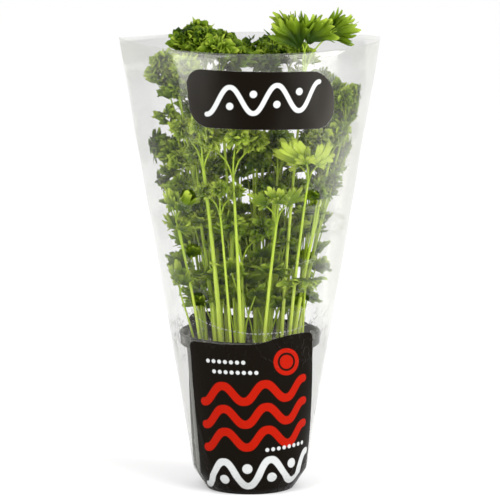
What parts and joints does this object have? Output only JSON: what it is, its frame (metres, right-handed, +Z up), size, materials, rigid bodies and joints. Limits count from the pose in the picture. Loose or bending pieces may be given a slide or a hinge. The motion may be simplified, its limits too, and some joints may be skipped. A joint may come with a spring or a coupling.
{
  "type": "potted parsley",
  "caption": "Curly parsley in a tapered nursery pot filled with soil, inside a clear flared film sleeve that is open at the top and pierced by round vents.",
  "frame": {"origin": "centre of the underside of the film sleeve, on the surface that it stands on", "axes": "+Z up along the plant; +X to the right and -Y to the front, where the printed front panel faces"},
  "size_m": [0.1854, 0.136, 0.3375],
  "materials": {
    "pot_plastic": "black injection-moulded plastic, satin",
    "soil": "dark crumbly compost",
    "sleeve_film": "clear glossy plastic film with printed panels",
    "parsley": "fresh green leaves, soft sheen"
  },
  "bodies": {
    "root": {"pot": "pot_plastic", "soil": "soil", "sleeve": "sleeve_film", "frond_01": "parsley", "frond_02": "parsley", "frond_03": "parsley", "frond_04": "parsley", "frond_05": "parsley", "frond_06": "parsley", "frond_07": "parsley", "frond_08": "parsley", "frond_09": "parsley", "frond_10": "parsley", "frond_11": "parsley", "frond_12": "parsley", "frond_13": "parsley", "frond_14": "parsley", "frond_15": "parsley", "frond_16": "parsley", "frond_17": "parsley", "frond_18": "parsley", "frond_19": "parsley", "frond_20": "parsley", "frond_21": "parsley", "frond_22": "parsley", "frond_23": "parsley", "frond_24": "parsley", "frond_25": "parsley", "frond_26": "parsley", "frond_27": "parsley", "frond_28": "parsley", "frond_29": "parsley", "frond_30": "parsley", "frond_31": "parsley", "frond_32": "parsley", "frond_33": "parsley", "frond_34": "parsley"}
  },
  "joints": []
}
